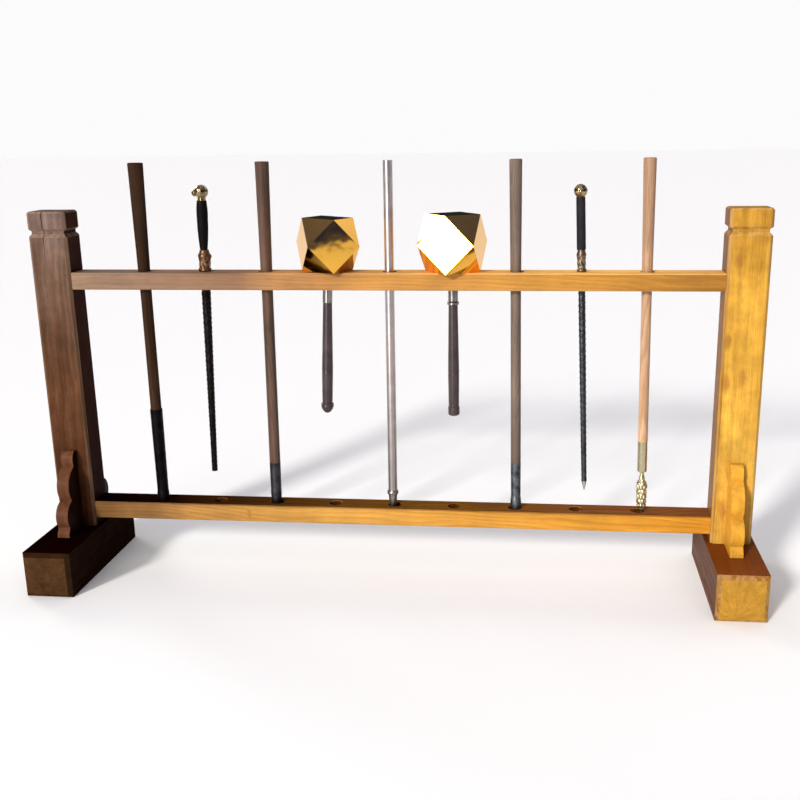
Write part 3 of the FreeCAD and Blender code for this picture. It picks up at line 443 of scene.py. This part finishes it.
# The left bracket's tone is dark wood with painted shade; its +X side is darkened further with
# painted shade.
paint(wood("wood_left_bracket", "Z", (LEFT_MIDDLE + 0.05, -0.16), (0.136, 0.053, 0.025),
           ring=0.014, coat=0.0, specular=0.03, streak=0.22, blotch=0.3, ring_contrast=0.3,
           faces=(("X", 1, (0.12, 0.08, 0.08)),)),
      "left_front_bracket", "left_rear_bracket")
paint(wood("wood_right_bracket", "Z", (RIGHT_MIDDLE - 0.05, -0.20), (0.72, 0.35, 0.034),
           ring=0.016, ring_contrast=0.25, specular=0.15),
      "right_front_bracket", "right_rear_bracket")
paint(wood("wood_pegs", "Y", (0.0, 0.0), (0.30, 0.16, 0.06), ring=0.003),
      "rail_pegs", "post_pegs", "bracket_dowels")

# ---------------------------------------------------------------- poles
POLE_5_TONES = ((0.0, (0.70, 0.450, 0.265)), (0.5, (0.59, 0.358, 0.205)),
                (1.0, (0.42, 0.252, 0.150)))
paint(wood("wood_pole_1", "Z", (-0.70, 0.05), (0.042, 0.021, 0.012), ring=0.004, gloss=0.5,
           coat=0.0, specular=0.02, streak=0.3, blotch=0.4), "pole_1_shaft")
paint(wood("wood_pole_2", "Z", (-0.34, 0.05), (0.107, 0.060, 0.041), ring=0.004, gloss=0.48,
           coat=0.0, specular=0.2, streak=0.3, blotch=0.4), "pole_2_shaft")
paint(wood("wood_pole_4", "Z", (0.36, 0.05), (0.185, 0.136, 0.106), ring=0.004, gloss=0.5,
           coat=0.0, specular=0.2, streak=0.25, blotch=0.3), "pole_4_shaft")
paint(wood("wood_pole_5", "Z", (0.73, 0.05), POLE_5_TONES, fade=ALONG_POST, ring=0.004,
           gloss=0.42, coat=0.05, streak=0.2, blotch=0.2), "pole_5_shaft")
paint(metal("iron_butts", (0.0102, 0.0082, 0.0093), (0.0047, 0.0037, 0.0043), rough=(0.42, 0.6),
            patina=1.0, grain=38.0, relief=0.0012, relief_scale=120.0), "pole_1_butt")
paint(metal("iron_butt_plain", (0.062, 0.058, 0.068), (0.025, 0.022, 0.025),
            rough=(0.35, 0.6), patina=1.0, grain=38.0, relief=0.0012, relief_scale=120.0),
      "pole_2_butt")
paint(metal("iron_butt_worn", (0.155, 0.175, 0.195), (0.042, 0.042, 0.048), rough=(0.3, 0.55),
            patina=1.0, grain=45.0, relief=0.0012, relief_scale=120.0), "pole_4_butt")
# painted shade: the steel pole darkens towards its foot
paint(metal("steel_pole", (0.66, 0.58, 0.55), (0.56, 0.50, 0.48), rough=(0.30, 0.38),
            patina=0.5, grain=4.0, relief=0.00002, relief_scale=30.0,
            fade=(FOOT_TOP, POST_TOP, 0.43)),
      "pole_3_tube", "pole_3_ring", "pole_3_lower_plug", "pole_3_upper_plug")
paint(metal("brass_ferrule", (0.52, 0.46, 0.30), (0.40, 0.34, 0.20), rough=(0.14, 0.22),
            patina=0.5, grain=8.0, relief=0.00004, relief_scale=60.0), "pole_5_ferrule")
bulb_brass = metal("brass_bulb", (0.82, 0.75, 0.46), (0.46, 0.41, 0.22), rough=(0.24, 0.40),
                   patina=0.8, grain=60.0, relief=0.0006, relief_scale=160.0)

# ---------------------------------------------------------------- maces and hammers
black_blade = metal("blade_black", (0.016, 0.0125, 0.012), (0.006, 0.0045, 0.0045),
                    rough=(0.36, 0.55), patina=1.0, grain=70.0, relief=0.0006,
                    relief_scale=260.0)
grey_blade = metal("blade_grey", (0.068, 0.070, 0.075), (0.021, 0.023, 0.028),
                   rough=(0.32, 0.50), patina=1.0, grain=90.0, relief=0.0006,
                   relief_scale=320.0)
paint(metal("blade_tip", (0.62, 0.62, 0.60), (0.35, 0.36, 0.37), rough=(0.2, 0.35)),
      "right_mace_tip")
dull_gilt = metal("gilt_dull", (0.23, 0.120, 0.060), (0.080, 0.040, 0.022), rough=(0.28, 0.5),
                  patina=1.0, grain=120.0, relief=0.0008, relief_scale=170.0)
bright_gilt = metal("gilt_bright", (0.28, 0.23, 0.153), (0.10, 0.070, 0.045),
                    rough=(0.28, 0.48), patina=1.0, grain=110.0, relief=0.0008,
                    relief_scale=170.0)
pommel_gilt = metal("gilt_pommel", (0.42, 0.33, 0.17), (0.10, 0.060, 0.032),
                    rough=(0.14, 0.30), patina=1.0, grain=55.0, relief=0.0004,
                    relief_scale=120.0)
grip_black = lacquer("grip_lacquer", (0.0030, 0.0022, 0.0022), (0.005, 0.004, 0.0045),
                     gloss=0.46, coat=0.0, specular=0.05)
grip_grey = lacquer("grip_wrap", (0.012, 0.011, 0.014), (0.020, 0.018, 0.022), gloss=0.48,
                    coat=0.0, specular=0.06)
paint(grip_black, "left_mace_grip")
paint(grip_grey, "right_mace_grip")
paint(metal("gold_plate", (0.93, 0.50, 0.075), (0.80, 0.40, 0.055), rough=(0.03, 0.07),
            patina=0.5, grain=14.0, relief=0.0008, relief_scale=7.0),
      "left_hammer_head", "right_hammer_head")
paint(metal("neck_steel", (0.25, 0.235, 0.222), (0.12, 0.110, 0.102), rough=(0.18, 0.30),
            patina=0.6, grain=30.0, relief=0.0001), "left_hammer_neck", "right_hammer_neck",
      "left_hammer_core", "right_hammer_core")
handle_lacquer = lacquer("handle_lacquer", (0.050, 0.029, 0.031), (0.024, 0.015, 0.017),
                         gloss=0.30, coat=0.2, specular=0.3)


# ---------------------------------------------------------------- turned and chased pieces
CORNER = 0.0003
AROUND = 48
THINNEST = 0.0002
LOBE_HEIGHT = 0.006


def weapon_axis(body, node, middle):
    """Where a weapon's own height is 0, and its direction. middle is the node's own middle."""
    low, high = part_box(node)
    joint = [entry for entry in frame["joints"] if entry["child"] == body][0]
    direction = Vector(joint["axis"])
    return (low + high) / 2 - direction * middle, direction


def sampled(outline, step):
    """Points along an outline of (height, radius), with a tight loop beside each corner."""
    points = [outline[0]]
    for (low, first), (high, last) in zip(outline, outline[1:]):
        length = math.hypot(high - low, last - first)
        count = max(1, round(length / step))
        shares = [index / count for index in range(1, count)]
        if length > 4 * CORNER:
            shares = sorted([CORNER / length] + shares + [1.0 - CORNER / length])
        for share in shares + [1.0]:
            points.append((low + (high - low) * share, first + (last - first) * share))
    return points


def eased(knots, step):
    """A smooth outline that passes level through each (height, radius) knot."""
    points = [knots[0]]
    for (low, first), (high, last) in zip(knots, knots[1:]):
        count = max(2, round((high - low) / step))
        for index in range(1, count + 1):
            share = index / count
            ease = share * share * (3.0 - 2.0 * share)
            points.append((low + (high - low) * share, first + (last - first) * ease))
    return points


def ball(height, radius, start=-math.pi / 2, count=28):
    """The outline of a ball from an angle above its lowest point to its top."""
    angles = [start + (math.pi / 2 - start) * index / count for index in range(count + 1)]
    return [(height + radius * math.sin(angle), max(radius * math.cos(angle), THINNEST))
            for angle in angles]


def turned(name, axis, outline, material, body, node, ripple=None, around=AROUND):
    """A turned piece on a weapon's axis. ripple(height, angle, radius) gives its relief."""
    start, up = axis
    across = Vector((0.0, 1.0, 0.0)) if abs(up.y) < 0.5 else Vector((1.0, 0.0, 0.0))
    side = across.cross(up).normalized()
    back = up.cross(side)
    places = []
    for height, radius in outline:
        for step in range(around):
            angle = 2.0 * math.pi * step / around
            reach = ripple(height, angle, radius) if ripple else radius
            places.append(start + up * height
                          + (side * math.cos(angle) + back * math.sin(angle)) * reach)
    faces = []
    for row in range(len(outline) - 1):
        for step in range(around):
            after = (step + 1) % around
            faces.append((row * around + step, row * around + after,
                          (row + 1) * around + after, (row + 1) * around + step))
    last_row = (len(outline) - 1) * around
    for row, height, order in ((0, outline[0][0], -1), (last_row, outline[-1][0], 1)):
        centre = len(places)
        places.append(start + up * height)
        for step in range(around):
            pair = (row + step, row + (step + 1) % around)
            faces.append((centre, *pair[::order]))
    mesh = bpy.data.meshes.new(name)
    mesh.from_pydata(places, [], faces)
    mesh.polygons.foreach_set("use_smooth", [True] * len(mesh.polygons))
    mesh.materials.append(material)
    piece = bpy.data.objects.new(name, mesh)
    bpy.context.scene.collection.objects.link(piece)
    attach(piece, body)
    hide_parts(node)
    return piece


def scales(low, high, pitch, count, depth):
    """Staggered rows of raised scales between two heights."""
    def ripple(height, angle, radius):
        if not low < height < high:
            return radius
        row = (height - low) / pitch
        shift = math.pi * (int(row) % 2)
        across = 0.5 + 0.5 * math.cos(count * angle + shift)
        upward = math.sin(math.pi * (row - int(row)))
        raised = min(1.0, 1.6 * across * upward)
        return radius * (1.0 - depth * (1.0 - raised))
    return ripple


def ropes(low, high, pitch, count, depth, lobe=0.0):
    """Slanting ridges between two heights, and a lobe on one side of the upper end."""
    def ripple(height, angle, radius):
        reach = radius
        if low < height < high:
            ridge = math.cos(count * angle + 2.0 * math.pi * height / pitch)
            cross = math.cos(count * angle - 2.0 * math.pi * height / (pitch * 1.7))
            reach = radius * (1.0 - depth * (0.5 - 0.35 * ridge - 0.15 * cross))
        if lobe:
            near = math.exp(-((height - high) / LOBE_HEIGHT) ** 2)
            near *= max(0.0, math.cos(angle)) ** 3
            reach += lobe * near
        return reach
    return ripple


def flutes(count, depth, low, high):
    """Shallow upright flutes that fade out at both ends."""
    def ripple(height, angle, radius):
        share = min(max((height - low) / (high - low), 0.0), 1.0)
        fade = math.sin(math.pi * share)
        return radius * (1.0 - depth * fade * (0.5 - 0.5 * math.cos(count * angle)) ** 2)
    return ripple


def grooved(outline, grooves, depth, width):
    """Cut fine turned grooves into an outline at the given heights."""
    points = []
    for height, radius in outline:
        cut = sum(math.exp(-((height - groove) / width) ** 2) for groove in grooves)
        points.append((height, radius - depth * min(cut, 1.0)))
    return points


# pole 5's butt: rows of small lobes under a narrow neck
BULB = ((0.0, 0.003), (0.031, 0.0072), (0.052, 0.0140), (0.066, 0.0150), (0.092, 0.0152),
        (0.112, 0.0165), (0.129, 0.0090), (0.147, 0.0055), (0.154, 0.0137))
FERRULE_MIDDLE = 0.198
pole_5_axis = weapon_axis("pole_5", "pole_5_ferrule", FERRULE_MIDDLE)
turned("pole_5_lobed_butt", pole_5_axis, eased(BULB, 0.0011), bulb_brass, "pole_5",
       "pole_5_butt", scales(0.040, 0.128, 0.0147, 7, 0.17), around=84)

# the two maces, whose heights start at the upper rail's top
LEFT_GUARD = ((0.0, 0.0172), (0.003, 0.0182), (0.007, 0.0182), (0.009, 0.0168), (0.040, 0.0178),
              (0.042, 0.0182), (0.046, 0.0178), (0.052, 0.0146), (0.056, 0.0132),
              (0.060, 0.0132))
RIGHT_GUARD = ((0.0, 0.0128), (0.003, 0.0135), (0.006, 0.0135), (0.008, 0.0122), (0.041, 0.0128),
               (0.044, 0.0135), (0.048, 0.0130), (0.054, 0.0112), (0.060, 0.0107))
LEFT_BLADE = ((-0.598, 0.0085), (-0.250, 0.0116), (0.0, 0.0140), (0.0, 0.004), (0.209, 0.004))
RIGHT_BLADE = ((-0.604, 0.0079), (-0.250, 0.0097), (0.0, 0.0102), (0.0, 0.004), (0.212, 0.004))
GRIP_MIDDLE = {"left": 0.1285, "right": 0.130}
left_mace_axis = weapon_axis("left_mace", "left_mace_grip", GRIP_MIDDLE["left"])
right_mace_axis = weapon_axis("right_mace", "right_mace_grip", GRIP_MIDDLE["right"])
turned("left_mace_chased_guard", left_mace_axis, sampled(LEFT_GUARD, 0.0012), dull_gilt,
       "left_mace", "left_mace_guard", ropes(0.009, 0.040, 0.034, 5, 0.15, lobe=0.003))
turned("right_mace_chased_guard", right_mace_axis, sampled(RIGHT_GUARD, 0.0012), bright_gilt,
       "right_mace", "right_mace_guard", ropes(0.008, 0.041, 0.020, 4, 0.15))
turned("left_mace_scaled_blade", left_mace_axis, sampled(LEFT_BLADE, 0.0016), black_blade,
       "left_mace", "left_mace_blade", scales(-0.590, -0.002, 0.0140, 6, 0.09),
       around=36)
turned("right_mace_scaled_blade", right_mace_axis, sampled(RIGHT_BLADE, 0.0013), grey_blade,
       "right_mace", "right_mace_blade", scales(-0.600, -0.002, 0.0085, 5, 0.10),
       around=36)

# the pommels: the collar's foot, its height and the ball's radius, then a bead's radius and how
# far it sits below the ball's middle
POMMELS = {"left": (0.197, 0.009, 0.019), "right": (0.200, 0.0015, 0.0184)}
BEADS = {"left": (0.0095, 0.004), "right": (0.0075, 0.0)}
SEAT_DROP = 0.8
SEAT_WIDTH = 0.6
for side_name, axis, body in (("left", left_mace_axis, "left_mace"),
                              ("right", right_mace_axis, "right_mace")):
    foot, collar, radius = POMMELS[side_name]
    middle = foot + collar + radius * SEAT_DROP
    neck = [(foot, radius * SEAT_WIDTH), (foot + collar, radius * SEAT_WIDTH)]
    profile = sampled(neck, 0.002)[:-1] + ball(middle, radius, start=-math.asin(SEAT_DROP))
    turned(f"{side_name}_mace_fluted_pommel", axis, profile, pommel_gilt, body,
           f"{side_name}_mace_pommel",
           flutes(9, 0.07, foot + collar, middle + radius))
    start, up = axis
    bead, drop = BEADS[side_name]
    outward = Vector((-up.z, 0.0, up.x)) if side_name == "left" else Vector((0.0, -1.0, 0.0))
    turned(f"{side_name}_mace_pommel_bead", (start + up * (middle - drop), outward),
           ball(radius, bead, start=-1.2, count=16), pommel_gilt, body,
           f"{side_name}_mace_pommel", around=24)

# the hammers' handles and knobs, with fine turned grooves
HANDLE = ((-0.385, 0.0145), (-0.380, 0.0150), (-0.294, 0.0160), (-0.286, 0.0160),
          (-0.092, 0.0130))
KNOBS = {"left": ((-0.415, 0.0006), (-0.4145, 0.0050), (-0.412, 0.0090), (-0.407, 0.0132),
                  (-0.401, 0.0165), (-0.396, 0.0182), (-0.387, 0.0182), (-0.385, 0.0160)),
         "right": ((-0.415, 0.0006), (-0.4142, 0.0070), (-0.4125, 0.0125), (-0.4105, 0.0155),
                   (-0.408, 0.0165), (-0.387, 0.0165), (-0.385, 0.0145))}
CORE_MIDDLE = -0.1865
HANDLE_GROOVES = (-0.293, -0.290, -0.287, -0.3815)
KNOB_GROOVES = (-0.402, -0.395, -0.3905)
for side_name in ("left", "right"):
    body = f"{side_name}_hammer"
    axis = weapon_axis(body, f"{side_name}_hammer_core", CORE_MIDDLE)
    handle = grooved(sampled(HANDLE, 0.0006), HANDLE_GROOVES, 0.0009, 0.0007)
    turned(f"{side_name}_hammer_turned_handle", axis, handle, handle_lacquer, body,
           f"{side_name}_hammer_handle", around=40)
    knob = grooved(sampled(KNOBS[side_name], 0.0005), KNOB_GROOVES, 0.0008, 0.0006)
    turned(f"{side_name}_hammer_turned_knob", axis, knob, handle_lacquer, body,
           f"{side_name}_hammer_knob", around=40)

# ---------------------------------------------------------------- floor
FLOOR_FRONT = -5.65
FLOOR_BACK = 60.0
FLOOR_SIDE = 40.0
FLOOR_TOP = -0.0006
floor_corners = [(-FLOOR_SIDE, FLOOR_FRONT, FLOOR_TOP), (FLOOR_SIDE, FLOOR_FRONT, FLOOR_TOP),
                 (FLOOR_SIDE, FLOOR_BACK, FLOOR_TOP), (-FLOOR_SIDE, FLOOR_BACK, FLOOR_TOP)]
floor_mesh = bpy.data.meshes.new("floor")
floor_mesh.from_pydata(floor_corners, [], [(0, 1, 2, 3)])
floor = bpy.data.objects.new("floor", floor_mesh)
bpy.context.scene.collection.objects.link(floor)
floor_shader = Shader("floor_pale")
floor_shader.set(Base_Color=FLOOR_TONE, Roughness=0.75, Specular_IOR_Level=0.2)
floor_mesh.materials.append(floor_shader.material)

# ---------------------------------------------------------------- light
KEY_TURN = 27.0
KEY_RISE = 24.0
KEY_STRENGTH = 3.35
KEY_SOFTNESS = 8.0
PANEL_PLACE = Vector((-2.0, -4.6, 1.65))
PANEL_TARGET = Vector((0.1, 0.0, 0.7))
PANEL_SIZE = (1.5, 3.2)
PANEL_POWER = 34.0
WINDOW_PLACE = Vector((-1.92, -4.36, 0.47))
WINDOW_TARGET = Vector((0.18, 0.03, 0.98))
WINDOW_SIZE = (0.8, 1.0)
WINDOW_POWER = 40.0


def add_light(name, kind, place, target, strength):
    """A light that looks from place to target."""
    data = bpy.data.lights.new(name, kind)
    data.energy = strength
    data.color = LIGHT_TONE
    light = bpy.data.objects.new(name, data)
    light.location = place
    light.rotation_euler = (target - place).to_track_quat("-Z", "Y").to_euler()
    light.visible_camera = False
    bpy.context.scene.collection.objects.link(light)
    return light


towards_key = Vector((-math.sin(math.radians(KEY_TURN)), -math.cos(math.radians(KEY_TURN)),
                      math.tan(math.radians(KEY_RISE))))
key = add_light("key", "SUN", towards_key * 6.0, Vector((0.0, 0.0, 0.0)), KEY_STRENGTH)
key.data.angle = math.radians(KEY_SOFTNESS)
panel = add_light("panel", "AREA", PANEL_PLACE, PANEL_TARGET, PANEL_POWER)
panel.data.shape = "RECTANGLE"
panel.data.size, panel.data.size_y = PANEL_SIZE
window = add_light("window", "AREA", WINDOW_PLACE, WINDOW_TARGET, WINDOW_POWER)
window.data.shape = "RECTANGLE"
window.data.size, window.data.size_y = WINDOW_SIZE


# Soft patches of the studio's light: direction, inner and outer angle of the soft edge in
# degrees, and brightness. The gilt and gold mirror them. The first is the ceiling, and those
# below 0 are dark flags.
LIGHT_PATCHES = (
    ((0.0, 0.0, 1.0), 0.0, 85.0, 1.0),
    ((-0.70, 0.58, 0.42), 5.0, 10.0, 11.0),
    ((0.55, 0.72, 0.42), 10.0, 28.0, 0.65),
    ((0.63, -0.01, 0.78), 12.0, 30.0, -0.75),
    ((-0.60, -0.165, 0.785), 12.0, 30.0, -0.72),
    ((0.616, -0.776, 0.0), 12.0, 30.0, -0.6),
)
DIMMEST = 0.02
# the dark flags glow a little blue, so that the gold's dark facets turn brown
COOL_SHADE = 0.35
BACKDROP_STRENGTH = 0.97


def make_world():
    """White behind the object, and a dim studio with dark flags for its reflections."""
    world = bpy.data.worlds.new("studio")
    world.use_nodes = True
    w = Nodes(world.node_tree)
    w.tree.nodes.clear()

    def background(tone, strength):
        node = w.add("ShaderNodeBackground")
        node.inputs["Color"].default_value = tone
        w.plug(node.inputs["Strength"], strength)
        return node.outputs[0]

    towards = w.add("ShaderNodeTexCoord").outputs["Generated"]
    total = None
    shaded = None
    for direction, narrow, wide, amount in LIGHT_PATCHES:
        nearness = w.vector("DOT_PRODUCT", towards, Vector(direction).normalized())
        fade = w.spread(nearness, math.cos(math.radians(wide)), math.cos(math.radians(narrow)),
                        0.0, amount, smooth=True)
        total = fade if total is None else w.math("ADD", total, fade)
        if amount < 0.0:
            shaded = fade if shaded is None else w.math("ADD", shaded, fade)
    around = w.add("ShaderNodeAddShader")
    w.plug(around.inputs[0], background(STUDIO_TONE, w.math("MAXIMUM", total, DIMMEST)))
    w.plug(around.inputs[1], background(COOL_TONE, w.math("MULTIPLY", shaded, -COOL_SHADE)))
    both = w.add("ShaderNodeMixShader")
    w.plug(both.inputs[0], w.add("ShaderNodeLightPath").outputs["Is Camera Ray"])
    w.plug(both.inputs[1], around.outputs[0])
    w.plug(both.inputs[2], background(BACKDROP_TONE, BACKDROP_STRENGTH))
    out = w.add("ShaderNodeOutputWorld")
    w.plug(out.inputs["Surface"], both.outputs[0])
    bpy.context.scene.world = world


make_world()

# ---------------------------------------------------------------- view
camera_data = bpy.data.cameras.new("camera")
camera_data.sensor_width = SENSOR_WIDTH
camera_data.lens = CAMERA_LENS
camera_data.shift_x = SHIFT_ACROSS
camera_data.shift_y = SHIFT_UP
camera_data.clip_end = FARTHEST_SEEN
camera = bpy.data.objects.new("camera", camera_data)
bpy.context.scene.collection.objects.link(camera)
aim = Euler((math.radians(90.0 + CAMERA_PITCH), 0.0, math.radians(CAMERA_YAW)))
turn = aim.to_matrix() @ Matrix.Rotation(math.radians(CAMERA_ROLL), 3, "Z")
camera.matrix_world = Matrix.Translation(CAMERA_PLACE) @ turn.to_4x4()
bpy.context.scene.camera = camera
bpy.context.scene.view_settings.view_transform = "Standard"
